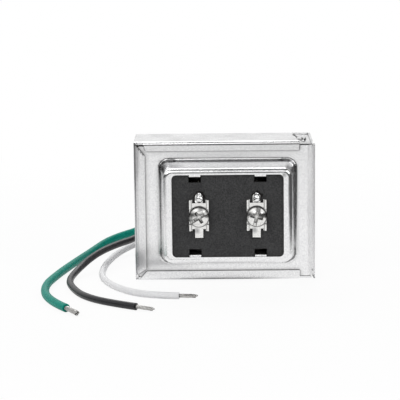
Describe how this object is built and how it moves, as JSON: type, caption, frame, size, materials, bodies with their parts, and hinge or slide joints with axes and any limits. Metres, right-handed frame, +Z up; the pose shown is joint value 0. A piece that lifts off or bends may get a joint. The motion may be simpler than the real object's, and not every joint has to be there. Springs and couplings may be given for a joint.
{
  "type": "doorbell transformer",
  "caption": "Small steel-cased transformer with screw terminals on a drawn front dome and stripped leads from a knock-out hub at the rear.",
  "frame": {"origin": "on the surface that it stands on, midway across the case and midway between the screw heads and the mouth of the rear hub", "axes": "+X to the right when the terminals face the viewer, +Y away from the viewer towards the hub, +Z up"},
  "size_m": [0.0969, 0.1225, 0.0504],
  "materials": {
    "case_steel": "bright tin or zinc plated sheet, smooth",
    "face_steel": "bright plated sheet, polished where it is drawn",
    "fibre_board": "matte vulcanised fibre, fine grain",
    "terminal_nickel": "nickel plated, bright",
    "screw_nickel": "nickel plated, slightly worn recess",
    "solder": "satin solder",
    "green_vinyl": "smooth vinyl, slight sheen",
    "black_vinyl": "smooth vinyl, slight sheen",
    "white_vinyl": "smooth vinyl, slight sheen",
    "tinned_strand": "tinned twisted strands",
    "lamination": "stacked silicon steel, dark edges",
    "former_nylon": "moulded, matte",
    "primary_copper": "enamelled copper wire",
    "secondary_copper": "enamelled copper wire",
    "barrier_film": "polyester film",
    "coil_tape": "polyester tape",
    "insulating_paper": "fish paper, matte",
    "secondary_sleeve": "sleeved wire",
    "cutout_case": "moulded case",
    "splice_nylon": "nylon sleeve",
    "ground_tin": "tin plated terminal and rivet",
    "hub_zinc": "zinc plated steel",
    "nut_zinc": "zinc plated steel",
    "bushing_black": "moulded, matte"
  },
  "bodies": {
    "root": {"rear_shell": "case_steel", "front_shell": "face_steel", "terminal_board": "fibre_board", "terminal_plate_left": "terminal_nickel", "terminal_plate_right": "terminal_nickel", "terminal_screw_left": "screw_nickel", "terminal_screw_right": "screw_nickel", "solder_joint_left": "solder", "solder_joint_right": "solder", "secondary_lead_left": "secondary_sleeve", "secondary_lead_right": "secondary_sleeve", "core_e_stack": "lamination", "core_i_stack": "lamination", "bobbin": "former_nylon", "primary_winding": "primary_copper", "barrier_tape": "barrier_film", "secondary_winding": "secondary_copper", "coil_wrap": "coil_tape", "front_insulator": "insulating_paper", "rear_insulator": "insulating_paper", "thermal_cutout": "cutout_case", "knockout_hub": "hub_zinc", "hub_locknut": "nut_zinc", "lead_bushing": "bushing_black", "green_lead": "green_vinyl", "black_lead": "black_vinyl", "white_lead": "white_vinyl", "green_strands": "tinned_strand", "black_strands": "tinned_strand", "white_strands": "tinned_strand", "green_tail": "green_vinyl", "black_tail": "black_vinyl", "white_tail": "white_vinyl", "black_splice": "splice_nylon", "white_splice": "splice_nylon", "primary_start_wire": "primary_copper", "primary_finish_wire": "primary_copper", "ground_lug": "ground_tin", "ground_rivet": "ground_tin"}
  },
  "joints": []
}
